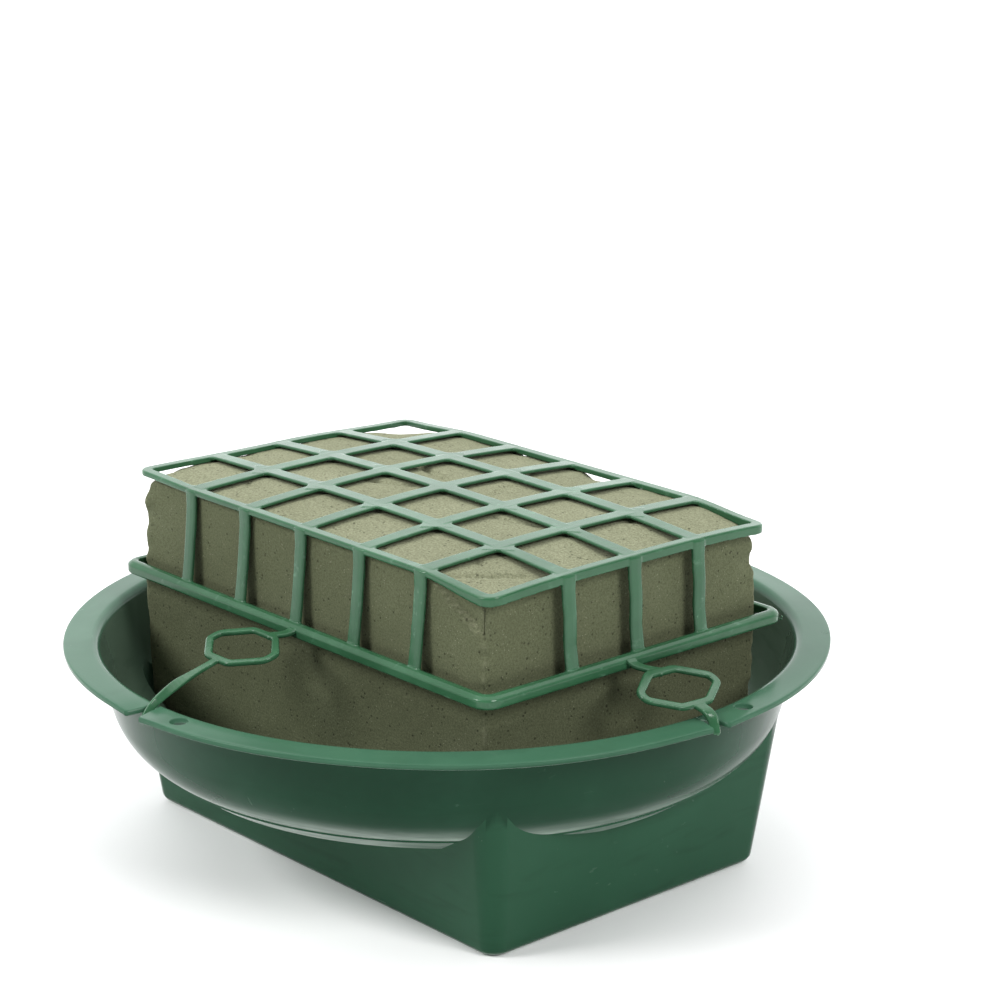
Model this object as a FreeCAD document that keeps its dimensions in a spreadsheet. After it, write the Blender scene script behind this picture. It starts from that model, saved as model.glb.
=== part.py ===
import FreeCAD, Part
import math
import os
import Sketcher

# Floral foam block in a round, rimmed bowl, held down by a clip-on cage.
#
# Frame: origin at the middle of the underside of the well, +Z up, X along the long side of the foam.
# The bowl, the foam and the cage are three loose pieces.  The bowl is one moulding given as three zones
# (rim, dish, well), and the cage is one moulding given as its bars, posts and links.

Vector = FreeCAD.Vector
doc = FreeCAD.newDocument("CagedFoamBowl")

DIMENSIONS = [
    # bowl
    ("rim_top", 66.4, "height of the rim above the table"),
    ("rim_thick", 1.6, "thickness of the rim flange"),
    ("rim_radius", 115.0, "outer radius of the rim flange"),
    ("dish_mouth", 105.8, "outer radius of the dish wall under the flange"),
    ("wall", 1.5, "wall thickness of the bowl"),
    ("wall_lean", 14.0, "lean of the dish wall from vertical, degrees"),
    ("wall_straight", 17.3, "height of the straight part of the dish wall"),
    ("dish_bend", 21.0, "outer radius of the bend from wall to dish floor"),
    ("bend_end", 60.0, "slope at which the bend stops at a crisp line, degrees"),
    ("foot_radius", 85.2, "radius at which the dish floor turns flat"),
    ("well_top", 29.5, "height of the underside of the dish floor"),
    ("well_x", 80.0, "half length of the well at the table"),
    ("well_y", 53.0, "half width of the well at the table"),
    ("well_round", 5.0, "corner radius of the well at the table"),
    ("draft", 7.5, "outward lean of the well walls, degrees"),
    ("well_rise", 18.0, "height of the well corners that show through the dish wall"),
    ("base_fillet", 2.5, "rounding of the lower edge of the well"),
    ("slot_root", 106.0, "radius of the inner end of a strap notch"),
    ("slot_neck", 109.6, "radius at which a strap notch starts to widen"),
    ("slot_half", 1.6, "half width of a strap notch at its inner end"),
    ("mouth_half", 2.7, "half width of a strap notch at the rim edge"),
    ("tie_circle", 110.0, "radius of the circle of tie holes"),
    ("tie_radius", 2.4, "radius of a tie hole"),
    ("tie_turn", 7.5, "angle from a strap notch to its tie hole, degrees"),
    # foam
    ("foam_x", 78.0, "half length of the foam block"),
    ("foam_y", 51.3, "half width of the foam block"),
    ("foam_edge", 3.0, "rounding of the upright edges of the foam"),
    ("play", 0.3, "clearance above and below the foam"),
    # cage
    ("cage_top", 107.5, "height of the top of the upper frame"),
    ("frame_deep", 1.7, "depth of the upper frame"),
    ("frame_wide", 3.4, "width of the bar of the upper frame"),
    ("bar_deep", 1.0, "thickness of the flat grid bars"),
    ("bar_wide", 5.2, "width of the flat grid bars"),
    ("frame_x", 80.4, "half length of the upper frame, to the middle of its bars"),
    ("frame_y", 52.4, "half width of the upper frame, to the middle of its bars"),
    ("frame_round", 4.4, "outer corner radius of the upper frame"),
    ("pitch_x", 26.6, "spacing of the cross bars"),
    ("pitch_y", 25.1, "spacing of the long bars"),
    ("dome", 2.4, "rise of the middle of the grid above the frame"),
    ("rail_x", 83.6, "half length of the lower frame, to the middle of its bars"),
    ("rail_y", 56.8, "half width of the lower frame, to the middle of its bars"),
    ("rail_wide", 3.2, "width of the lower frame bars"),
    ("rail_deep", 3.8, "depth of the lower frame bars"),
    ("rail_top", 79.4, "height of the top of the lower frame"),
    ("rail_round", 5.0, "outer corner radius of the lower frame"),
    ("rail_bevel", 1.0, "bevel on the upper outer edge of the lower frame"),
    ("post_wide", 4.6, "width of a side post"),
    ("post_thick", 1.3, "thickness of a side post"),
    ("post_bevel", 0.4, "bevel on the outer edges of a side post"),
    ("post_proud", 0.4, "how far the head of a post stands out from the upper frame"),
    # links
    ("neck_gap", 1.2, "distance of a link's bending line from the lower frame"),
    ("neck_drop", 2.1, "depth of a link's bending line below the top of the lower frame"),
    ("link_thick", 1.6, "thickness of a link"),
    ("neck_half", 2.4, "half width of the neck of a link"),
    ("neck_long", 1.8, "length of the neck from the bending line to the ring"),
    ("ring_across", 13.4, "half width of a finger ring, to the middle of its band"),
    ("ring_along", 9.4, "half length of a finger ring, to the middle of its band"),
    ("ring_flat", 4.8, "half length of the two flats across a ring"),
    ("ring_side", 2.1, "half length of the two side flats of a ring"),
    ("band_half", 0.9, "half width of the band of a ring"),
    ("strap_half", 1.2, "half width of a strap"),
    ("strap_turn", 107.0, "radius at which a strap turns down into its notch"),
    ("strap_lift", 1.0, "height of the turn of a strap above the rim"),
    ("tail_slope", 42.0, "slope of the tail of a strap below level, degrees"),
    ("tail_long", 7.0, "length of the tail of a strap"),
]

sheet = doc.addObject("Spreadsheet::Sheet", "Dims")
for row, (alias, size, meaning) in enumerate(DIMENSIONS, start=1):
    sheet.set("A%d" % row, meaning)
    sheet.set("B%d" % row, str(size))
    sheet.setAlias("B%d" % row, alias)
doc.recompute()

SIDES = {"front": 0, "right": 90, "back": 180, "left": 270}
LONG_SIDES = ("front", "back")


def d(expression):
    """Spell out the sheet's aliases in an expression: every bare word in it that is an alias."""
    aliases = [alias for alias, _, _ in DIMENSIONS]
    words = "".join(c if c.isalnum() or c == "_" else " " + c + " " for c in expression).split(" ")
    return "".join("Dims." + word if word in aliases else word for word in words)


def value(expression):
    """The number that an expression of the sheet's aliases comes to."""
    return float(sheet.evalExpression(d(expression)))


# ---------------------------------------------------------------- bodies, sketches and features

def new_body(label):
    body = doc.addObject("PartDesign::Body", label)
    body.Label = label
    return body


def origin_feature(body, role):
    return next(feature for feature in body.Origin.OriginFeatures if feature.Role == role)


def new_sketch(body, plane, height=None):
    """A sketch on one of the body's own origin planes, raised by height along its normal."""
    sketch = body.newObject("Sketcher::SketchObject", body.Name + "_sketch")
    sketch.AttachmentSupport = [(origin_feature(body, plane), "")]
    sketch.MapMode = "FlatFace"
    if height is not None:
        sketch.setExpression("AttachmentOffset.Base.z", d(height))
    return sketch


def bind(sketch, kind, places, expression):
    """Add a dimension to the sketch and bind it to the sheet; a dimension is never negative."""
    size = value(expression)
    if kind in ("DistanceX", "DistanceY") and size < 0:
        places = places[2:] + places[:2]
        expression = "-(%s)" % expression
    index = sketch.addConstraint(Sketcher.Constraint(kind, *places, abs(size)))
    sketch.setExpression("Constraints[%d]" % index, d(expression))


def outline(sketch, corners, arcs=None):
    """A closed outline through corners, each a pair of expressions.

    arcs gives the radius of the sides that are arcs, by the number of the corner where the side starts.
    The outline runs counter-clockwise round the solid, and an arc bulges outwards.
    """
    arcs = arcs or {}
    points = [Vector(value(x), value(y), 0) for x, y in corners]
    first = sketch.GeometryCount
    ends = []
    for i, start in enumerate(points):
        end = points[(i + 1) % len(points)]
        if i in arcs:
            chord = end - start
            radius = value(arcs[i])
            inward = Vector(-chord.y, chord.x, 0).normalize()
            centre = (start + end) / 2 + inward * math.sqrt(radius ** 2 - (chord.Length / 2) ** 2)
            angles = [math.atan2(p.y - centre.y, p.x - centre.x) for p in (start, end)]
            circle = Part.Circle(centre, Vector(0, 0, 1), radius)
            sketch.addGeometry(Part.ArcOfCircle(circle, *angles), False)
        else:
            sketch.addGeometry(Part.LineSegment(start, end), False)
        ends.append((first + i, 1))
    for i, place in enumerate(ends):
        following = ends[(i + 1) % len(ends)]
        sketch.addConstraint(Sketcher.Constraint("Coincident", place[0], 2, *following))
        bind(sketch, "DistanceX", [-1, 1, *place], corners[i][0])
        bind(sketch, "DistanceY", [-1, 1, *place], corners[i][1])
        if i in arcs:
            bind(sketch, "Radius", [place[0]], arcs[i])


def rectangle(sketch, left, right, front, back):
    outline(sketch, [(left, front), (right, front), (right, back), (left, back)])


def rounded_rectangle(sketch, half_x, half_y, radius):
    inner_x = "(%s) - (%s)" % (half_x, radius)
    inner_y = "(%s) - (%s)" % (half_y, radius)
    corners = [
        (inner_x, "-(%s)" % half_y), (half_x, "-(%s)" % inner_y),
        (half_x, inner_y), (inner_x, half_y),
        ("-(%s)" % inner_x, half_y), ("-(%s)" % half_x, inner_y),
        ("-(%s)" % half_x, "-(%s)" % inner_y), ("-(%s)" % inner_x, "-(%s)" % half_y),
    ]
    outline(sketch, corners, {0: radius, 2: radius, 4: radius, 6: radius})


def circle(sketch, x, y, radius):
    centre = Vector(value(x), value(y), 0)
    index = sketch.addGeometry(Part.Circle(centre, Vector(0, 0, 1), value(radius)), False)
    bind(sketch, "DistanceX", [-1, 1, index, 3], x)
    bind(sketch, "DistanceY", [-1, 1, index, 3], y)
    bind(sketch, "Radius", [index], radius)


def extrude(body, kind, sketch, length, reverse=False, both_ways=False, taper=None):
    """A Pad or Pocket of a sketch."""
    feature = body.newObject("PartDesign::" + kind, body.Name + "_" + kind.lower())
    feature.Profile = sketch
    feature.Reversed = reverse
    feature.Midplane = both_ways
    feature.setExpression("Length", d(length))
    if taper:
        feature.setExpression("TaperAngle", d(taper))
    return feature


def revolve(body, kind, sketch):
    """A Revolution or Groove of a sketch, all the way round the upright axis."""
    feature = body.newObject("PartDesign::" + kind, body.Name + "_" + kind.lower())
    feature.Profile = sketch
    feature.ReferenceAxis = (origin_feature(body, "Z_Axis"), [""])
    feature.Angle = 360
    return feature


def four_times(body, pocket):
    """Repeat a pocket at the middle of the four sides of the cage."""
    pattern = body.newObject("PartDesign::PolarPattern", body.Name + "_pattern")
    pattern.Originals = [pocket]
    pattern.Axis = (origin_feature(body, "Z_Axis"), [""])
    pattern.Angle = 360
    pattern.Occurrences = len(SIDES)
    body.Tip = pattern
    return pattern


def dress(body, kind, size_name, size, wanted):
    """A Fillet or Chamfer on the edges of the body that the function wanted picks."""
    doc.recompute()
    base = body.Tip
    names = ["Edge%d" % (i + 1) for i, edge in enumerate(base.Shape.Edges) if wanted(edge)]
    feature = body.newObject("PartDesign::" + kind, body.Name + "_" + kind.lower())
    feature.Base = (base, names)
    feature.setExpression(size_name, d(size))
    return feature


def lies_at(edge, height):
    return all(abs(vertex.Z - height) < 1e-4 for vertex in edge.Vertexes)


def is_upright(edge):
    box = edge.BoundBox
    return box.ZLength > 1 and box.XLength < 1e-6 and box.YLength < 1e-6


# ---------------------------------------------------------------- bowl

RIM_UNDER = "rim_top - rim_thick"
WELL_TOP_X = "well_x + well_top * tan(draft)"
WELL_TOP_Y = "well_y + well_top * tan(draft)"
WELL_TOP_ROUND = "well_round + well_top * tan(draft)"


def dish_outline(sketch, inset):
    """The dish from its floor to the flange, half a section beside the axis, its skin set in by inset."""
    bend_r = "dish_mouth - wall_straight * tan(wall_lean)"
    bend_z = RIM_UNDER + " - wall_straight"
    centre_r = "(%s) - dish_bend * cos(wall_lean)" % bend_r
    centre_z = "(%s) + dish_bend * sin(wall_lean)" % bend_z
    radius = "dish_bend - %s" % inset
    on_bend_r = "%s + (%s) * cos(%s)"
    on_bend_z = "%s - (%s) * sin(%s)"
    corners = [
        ("0", "well_top + %s" % inset),
        ("foot_radius", "well_top + %s" % inset),
        (on_bend_r % (centre_r, radius, "bend_end"), on_bend_z % (centre_z, radius, "bend_end")),
        (on_bend_r % (centre_r, radius, "wall_lean"), on_bend_z % (centre_z, radius, "wall_lean")),
        ("dish_mouth - %s / cos(wall_lean)" % inset, RIM_UNDER),
        ("0", RIM_UNDER),
    ]
    outline(sketch, corners, {2: radius})


def build_rim():
    """The flat flange, with a notch for each strap and a tie hole beside each notch."""
    body = new_body("bowl_rim")
    ring = new_sketch(body, "XY_Plane", RIM_UNDER)
    circle(ring, "0", "0", "rim_radius")
    circle(ring, "0", "0", "dish_mouth - wall / cos(wall_lean)")
    extrude(body, "Pad", ring, "rim_thick")
    notch = new_sketch(body, "XY_Plane", RIM_UNDER)
    past_rim = "-(rim_radius + slot_half)"
    outline(notch, [
        ("-slot_half", "-slot_neck"), ("-mouth_half", past_rim),
        ("mouth_half", past_rim), ("slot_half", "-slot_neck"),
        ("slot_half", "-slot_root"), ("-slot_half", "-slot_root"),
    ])
    four_times(body, extrude(body, "Pocket", notch, "rim_thick", reverse=True))
    tie = new_sketch(body, "XY_Plane", RIM_UNDER)
    circle(tie, "tie_circle * sin(tie_turn)", "-tie_circle * cos(tie_turn)", "tie_radius")
    four_times(body, extrude(body, "Pocket", tie, "rim_thick", reverse=True))
    return body


def build_dish():
    """The round dish under the flange.  The corners of the well show through its bend."""
    body = new_body("bowl_dish")
    outside = new_sketch(body, "XZ_Plane")
    dish_outline(outside, "0")
    revolve(body, "Revolution", outside)
    corners = new_sketch(body, "XY_Plane", "well_top")
    rounded_rectangle(corners, WELL_TOP_X, WELL_TOP_Y, WELL_TOP_ROUND)
    extrude(body, "Pad", corners, "well_rise", taper="draft")
    inside = new_sketch(body, "XZ_Plane")
    dish_outline(inside, "wall")
    revolve(body, "Groove", inside)
    well_mouth = new_sketch(body, "XY_Plane", "well_top")
    rounded_rectangle(well_mouth, WELL_TOP_X + " - wall", WELL_TOP_Y + " - wall", WELL_TOP_ROUND + " - wall")
    extrude(body, "Pocket", well_mouth, "well_rise", reverse=True, taper="draft")
    return body


def build_well():
    """The rectangular well that the foam stands in, open at the top."""
    body = new_body("bowl_well")
    outside = new_sketch(body, "XY_Plane")
    rounded_rectangle(outside, "well_x", "well_y", "well_round")
    extrude(body, "Pad", outside, "well_top", taper="draft")
    dress(body, "Fillet", "Radius", "base_fillet", lambda edge: lies_at(edge, 0))
    inside = new_sketch(body, "XY_Plane", "wall")
    slope = " + wall * tan(draft) - wall"
    rounded_rectangle(inside, "well_x" + slope, "well_y" + slope, "well_round" + slope)
    extrude(body, "Pocket", inside, "well_top - wall", reverse=True, taper="draft")
    return body


# ---------------------------------------------------------------- foam

def build_foam():
    """The foam block, standing on the floor of the well and reaching up to the grid."""
    body = new_body("foam_block")
    face = new_sketch(body, "XY_Plane", "wall + play")
    rectangle(face, "-foam_x", "foam_x", "-foam_y", "foam_y")
    extrude(body, "Pad", face, "cage_top - frame_deep - wall - 2 * play")
    dress(body, "Fillet", "Radius", "foam_edge", is_upright)
    return body


# ---------------------------------------------------------------- cage

BAR_UNDER = "cage_top - bar_deep"
FRAME_UNDER = "cage_top - frame_deep"


def build_frame(label, half_x, half_y, width, radius, top, depth):
    """A rectangular frame of one bar with rounded corners; half_x and half_y reach the middle of the bar."""
    body = new_body(label)
    outside = new_sketch(body, "XY_Plane", "%s - %s" % (top, depth))
    half = "%s + %s / 2"
    rounded_rectangle(outside, half % (half_x, width), half % (half_y, width), radius)
    extrude(body, "Pad", outside, depth)
    inside = new_sketch(body, "XY_Plane", "%s - %s" % (top, depth))
    inner_radius = "(%s - %s)" % (radius, width)
    inner_half = "%s - %s / 2"
    rounded_rectangle(inside, inner_half % (half_x, width), inner_half % (half_y, width), inner_radius)
    extrude(body, "Pocket", inside, depth, reverse=True)
    return body


def build_lower_frame():
    body = build_frame(
        "cage_lower_frame", "rail_x", "rail_y", "rail_wide", "rail_round", "rail_top", "rail_deep")
    reach = value("rail_x")
    top = value("rail_top")
    middle = value("rail_y")

    def is_outer_top(edge):
        box = edge.BoundBox
        outside_bar = max(abs(box.XMin), abs(box.XMax)) > reach or max(abs(box.YMin), abs(box.YMax)) > middle
        return lies_at(edge, top) and outside_bar

    dress(body, "Chamfer", "Size", "rail_bevel", is_outer_top)
    return body


def arched_bar(label, plane, half_length, rise, place, direction):
    """A grid bar between the inner faces of the upper frame, arched by rise, moved sideways by place."""
    body = new_body(label)
    side = new_sketch(body, plane)
    radius = "((%s) ^ 2 + (%s) ^ 2) / (2 * (%s))" % (half_length, rise, rise)
    ends = [("-(%s)" % half_length, BAR_UNDER), (half_length, BAR_UNDER),
            (half_length, "cage_top"), ("-(%s)" % half_length, "cage_top")]
    hollow = "(%s) - ((%s) - (%s))" % (BAR_UNDER, radius, rise)
    outline(side, ends, {2: radius})
    extrude(body, "Pad", side, "bar_wide", both_ways=True)
    scoop = new_sketch(body, plane)
    circle(scoop, "0", hollow, radius)
    extrude(body, "Pocket", scoop, "2 * bar_wide", both_ways=True)
    body.setExpression("Placement.Base." + direction, d(place))
    return body


def build_long_bars():
    for number, step in enumerate((-1, 0, 1), start=1):
        place = "%d * pitch_y" % step
        rise = "dome * (1 - (%s / frame_y) ^ 2)" % place
        arched_bar("cage_long_bar_%d" % number, "XZ_Plane", "frame_x - frame_wide / 2", rise, place, "y")


def build_cross_bars():
    """Five bars across the grid, each cut where the three long bars pass."""
    for number, step in enumerate((-2, -1, 0, 1, 2), start=1):
        place = "%d * pitch_x" % step
        rise = "dome * (1 - (%s / frame_x) ^ 2)" % place
        label = "cage_cross_bar_%d" % number
        body = arched_bar(label, "YZ_Plane", "frame_y - frame_wide / 2", rise, place, "x")
        for long_bar in (-1, 0, 1):
            gap = new_sketch(body, "XY_Plane", BAR_UNDER)
            low = "%d * pitch_y - bar_wide / 2" % long_bar
            high = "%d * pitch_y + bar_wide / 2" % long_bar
            rectangle(gap, "-bar_wide", "bar_wide", low, high)
            extrude(body, "Pocket", gap, "bar_deep + dome", reverse=True)


def post_section(sketch, middle):
    """The section of a post: its outer face is narrower than its inner one by a bevel on each side."""
    inner = "-(%s - post_thick / 2)" % middle
    shoulder = "-(%s + post_thick / 2 - post_bevel)" % middle
    outer = "-(%s + post_thick / 2)" % middle
    flat = "post_wide / 2 - post_bevel"
    outline(sketch, [
        ("-(%s)" % flat, outer), (flat, outer), ("post_wide / 2", shoulder),
        ("post_wide / 2", inner), ("-post_wide / 2", inner), ("-post_wide / 2", shoulder),
    ])


def build_post(side, number, step):
    """A side post from the underside of the upper frame down and out to the lower frame."""
    body = new_body("cage_post_%s_%d" % (side, number))
    axis = "y" if side in LONG_SIDES else "x"
    pitch = "pitch_x" if side in LONG_SIDES else "pitch_y"
    foot = new_sketch(body, "XY_Plane", "rail_top")
    post_section(foot, "(rail_%s - rail_wide / 2 + post_thick / 2)" % axis)
    head = new_sketch(body, "XY_Plane", FRAME_UNDER)
    post_section(head, "(frame_%s + frame_wide / 2 - post_thick / 2 + post_proud)" % axis)
    loft = body.newObject("PartDesign::AdditiveLoft", body.Name + "_loft")
    loft.Profile = foot
    loft.Sections = [head]
    loft.Ruled = True
    angle = SIDES[side]
    along = FreeCAD.Rotation(Vector(0, 0, 1), angle).multVec(Vector(1, 0, 0))
    body.Placement = FreeCAD.Placement(Vector(), FreeCAD.Rotation(Vector(0, 0, 1), angle))
    body.setExpression("Placement.Base.x", d("%d * %s" % (round(along.x) * step, pitch)))
    body.setExpression("Placement.Base.y", d("%d * %s" % (round(along.y) * step, pitch)))


def build_posts():
    for side in SIDES:
        steps = (-2, -1, 0, 1, 2) if side in LONG_SIDES else (-1, 0, 1)
        for number, step in enumerate(steps, start=1):
            build_post(side, number, step)


# ---------------------------------------------------------------- links

PIVOT_Z = "(rail_top - neck_drop)"
RING_MIDDLE = "(neck_long + band_half + ring_along)"
RING_END = "(neck_long + 2 * band_half + 2 * ring_along)"


def pivot_reach(side):
    """Distance from the middle of the bowl to the bending line of the link on a side."""
    return "(rail_%s + rail_wide / 2 + neck_gap)" % ("y" if side in LONG_SIDES else "x")


def link_drop(side):
    """How far a link falls from its bending line to the turn of its strap."""
    return "(%s - rim_top - strap_lift)" % PIVOT_Z


def link_slope(side):
    return "(atan(%s / (strap_turn - %s)) / 1deg)" % (link_drop(side), pivot_reach(side))


def place_link(body, side):
    """Turn a link that is built level, along +X from its bending line, onto its side of the cage."""
    heading = FreeCAD.Rotation(Vector(0, 0, 1), SIDES[side] - 90)
    fall = FreeCAD.Rotation(Vector(0, 1, 0), value(link_slope(side)))
    out = heading.multVec(Vector(1, 0, 0))
    body.Placement = FreeCAD.Placement(Vector(), heading.multiply(fall))
    body.setExpression("Placement.Base.x", d("%d * %s" % (round(out.x), pivot_reach(side))))
    body.setExpression("Placement.Base.y", d("%d * %s" % (round(out.y), pivot_reach(side))))
    body.setExpression("Placement.Base.z", d(PIVOT_Z))


def ring_outline(sketch, offset):
    """The eight-sided ring, its middle line set out by offset.  X is along the link."""
    chamfer = "(ring_across - ring_flat)"
    rise = "(ring_along - ring_side)"
    slack = "%s * (sqrt(%s ^ 2 + %s ^ 2) - %s)" % (offset, chamfer, rise, rise)
    side_slack = "%s * (sqrt(%s ^ 2 + %s ^ 2) - %s)" % (offset, chamfer, rise, chamfer)
    far = "(ring_along + %s)" % offset
    wide = "(ring_across + %s)" % offset
    flat = "(ring_flat + %s / %s)" % (slack, rise)
    side = "(ring_side + %s / %s)" % (side_slack, chamfer)
    around = [(far, flat), (side, wide), ("-" + side, wide), ("-" + far, flat),
              ("-" + far, "-" + flat), ("-" + side, "-" + wide), (side, "-" + wide), (far, "-" + flat)]
    outline(sketch, [("%s + %s" % (RING_MIDDLE, x), y) for x, y in around])


def build_ring(side):
    """The finger ring and the neck by which it hangs from the lower frame."""
    body = new_body("link_%s_ring" % side)
    outside = new_sketch(body, "XY_Plane")
    ring_outline(outside, "band_half")
    extrude(body, "Pad", outside, "link_thick", both_ways=True)
    neck = new_sketch(body, "XZ_Plane")
    into_ring = "neck_long + band_half"
    half = "link_thick / 2"
    outline(neck, [("0", "-(%s)" % half), (into_ring, "-(%s)" % half), (into_ring, half), ("0", half)])
    extrude(body, "Pad", neck, "2 * neck_half", both_ways=True)
    root = new_sketch(body, "XZ_Plane")
    circle(root, "0", "0", half)
    extrude(body, "Pad", root, "2 * neck_half", both_ways=True)
    inside = new_sketch(body, "XY_Plane")
    ring_outline(inside, "(-band_half)")
    extrude(body, "Pocket", inside, "2 * link_thick", both_ways=True)
    place_link(body, side)


def build_strap(side):
    """The strap from the ring to the rim, and its tail down through the notch."""
    body = new_body("link_%s_strap" % side)
    turn = "(strap_turn - %s) / cos(%s)" % (pivot_reach(side), link_slope(side))
    bend = "(tail_slope - %s)" % link_slope(side)
    half = "link_thick / 2"
    knee = "(%s) * tan(%s / 2)" % (half, bend)
    tip_x = "(%s) + tail_long * cos(%s)" % (turn, bend)
    tip_z = "-(tail_long * sin(%s))" % bend
    across_x = "(%s) * sin(%s)" % (half, bend)
    across_z = "(%s) * cos(%s)" % (half, bend)
    profile = new_sketch(body, "XZ_Plane")
    outline(profile, [
        (RING_END, "-(%s)" % half),
        ("%s - %s" % (turn, knee), "-(%s)" % half),
        ("%s - %s" % (tip_x, across_x), "%s - %s" % (tip_z, across_z)),
        ("%s + %s" % (tip_x, across_x), "%s + %s" % (tip_z, across_z)),
        ("%s + %s" % (turn, knee), half),
        (RING_END, half),
    ])
    extrude(body, "Pad", profile, "2 * strap_half", both_ways=True)
    place_link(body, side)


def build_links():
    for side in SIDES:
        build_ring(side)
        build_strap(side)


# ---------------------------------------------------------------- build, check and write

build_rim()
build_dish()
build_well()
build_foam()
build_frame("cage_top_frame", "frame_x", "frame_y", "frame_wide", "frame_round", "cage_top", "frame_deep")
build_lower_frame()
build_long_bars()
build_cross_bars()
build_posts()
build_links()
doc.recompute()

failed = [item.Name for item in doc.Objects if "Invalid" in item.State or "Error" in item.State]
nodes = [item for item in doc.Objects if item.TypeId == "PartDesign::Body"]
for node in nodes:
    if node.Shape.isNull() or not node.Shape.isValid():
        failed.append(node.Label)
if failed:
    raise RuntimeError("failed: " + ", ".join(failed))

os.makedirs("parts", exist_ok=True)
for node in nodes:
    node.Shape.exportStep("parts/%s.step" % node.Label)
    print("%-24s %3d solids %10.1f mm3" % (node.Label, len(node.Shape.Solids), node.Shape.Volume))
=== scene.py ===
import math

import bmesh
import bpy
import numpy as np
from mathutils import Matrix, Vector


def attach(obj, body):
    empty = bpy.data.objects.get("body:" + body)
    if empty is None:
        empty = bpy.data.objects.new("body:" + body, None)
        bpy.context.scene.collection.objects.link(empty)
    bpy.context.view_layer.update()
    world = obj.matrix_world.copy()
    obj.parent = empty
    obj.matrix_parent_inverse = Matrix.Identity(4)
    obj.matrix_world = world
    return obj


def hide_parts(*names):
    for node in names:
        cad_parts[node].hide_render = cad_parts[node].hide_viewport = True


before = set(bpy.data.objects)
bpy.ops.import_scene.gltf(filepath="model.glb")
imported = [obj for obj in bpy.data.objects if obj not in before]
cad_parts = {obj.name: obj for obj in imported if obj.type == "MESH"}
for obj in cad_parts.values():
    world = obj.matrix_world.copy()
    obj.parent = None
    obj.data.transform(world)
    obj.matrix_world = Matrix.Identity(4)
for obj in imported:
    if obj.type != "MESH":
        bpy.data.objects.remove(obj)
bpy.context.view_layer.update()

MM = 0.001
SIDES = {"front": 0, "right": 90, "back": 180, "left": 270}
LONG_SIDES = ("front", "back")
scene = bpy.context.scene


# ---- meshes ----

# large primes that scramble a grid cell's place into a repeatable random number
HASH_PRIMES = np.array([374761393, 668265263, 2147483647, 1274126177], np.int64)
HASH_MASK = 0x7FFFFFFF


def noise3(points, size, seed):
    """Smooth random values from -1 to 1 at points, in mm, with blobs about size mm across."""
    p = np.asarray(points, float) / size
    cell = np.floor(p).astype(np.int64)
    f = p - cell
    f = f * f * (3 - 2 * f)
    total = np.zeros(len(p))
    for corner in range(8):
        step = np.array([corner & 1, corner >> 1 & 1, corner >> 2 & 1])
        c = cell + step
        h = (c @ HASH_PRIMES[:3] + seed * HASH_PRIMES[3]) & HASH_MASK
        h = ((h ^ (h >> 13)) * HASH_PRIMES[3]) & HASH_MASK
        h = ((h ^ (h >> 16)) * HASH_PRIMES[1]) & HASH_MASK
        value = (h % 65536) / 32767.5 - 1
        weight = np.prod(np.where(step == 1, f, 1 - f), axis=1)
        total += value * weight
    return total


def smoothstep(low, high, x):
    """0 up to low, 1 from high on, and smooth between; low may be the larger of the two."""
    t = np.clip((x - low) / (high - low), 0, 1)
    return t * t * (3 - 2 * t)


def mesh_object(name, vertices, faces):
    """A smooth-shaded object from vertices in mm."""
    mesh = bpy.data.meshes.new(name)
    mesh.from_pydata([tuple(v) for v in np.asarray(vertices, float) * MM], [], faces)
    mesh.validate()
    mesh.shade_smooth()
    obj = bpy.data.objects.new(name, mesh)
    scene.collection.objects.link(obj)
    return obj


def weld(obj, distance=1e-6):
    """Join vertices that lie within distance, in metres, and turn every face outwards."""
    work = bmesh.new()
    work.from_mesh(obj.data)
    bmesh.ops.remove_doubles(work, verts=work.verts, dist=distance)
    bmesh.ops.recalc_face_normals(work, faces=work.faces)
    work.to_mesh(obj.data)
    work.free()


def bake(obj):
    """Replace the object's mesh by what its modifiers make of it."""
    graph = bpy.context.evaluated_depsgraph_get()
    mesh = bpy.data.meshes.new_from_object(obj.evaluated_get(graph))
    obj.modifiers.clear()
    old = obj.data
    obj.data = mesh
    bpy.data.meshes.remove(old)
    mesh.name = obj.name


def grid_faces(rows, columns):
    """Quads between rows of points, each row closed on itself."""
    faces = []
    for r in range(rows - 1):
        for c in range(columns):
            d = (c + 1) % columns
            faces.append((r * columns + c, r * columns + d, (r + 1) * columns + d, (r + 1) * columns + c))
    return faces


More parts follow.
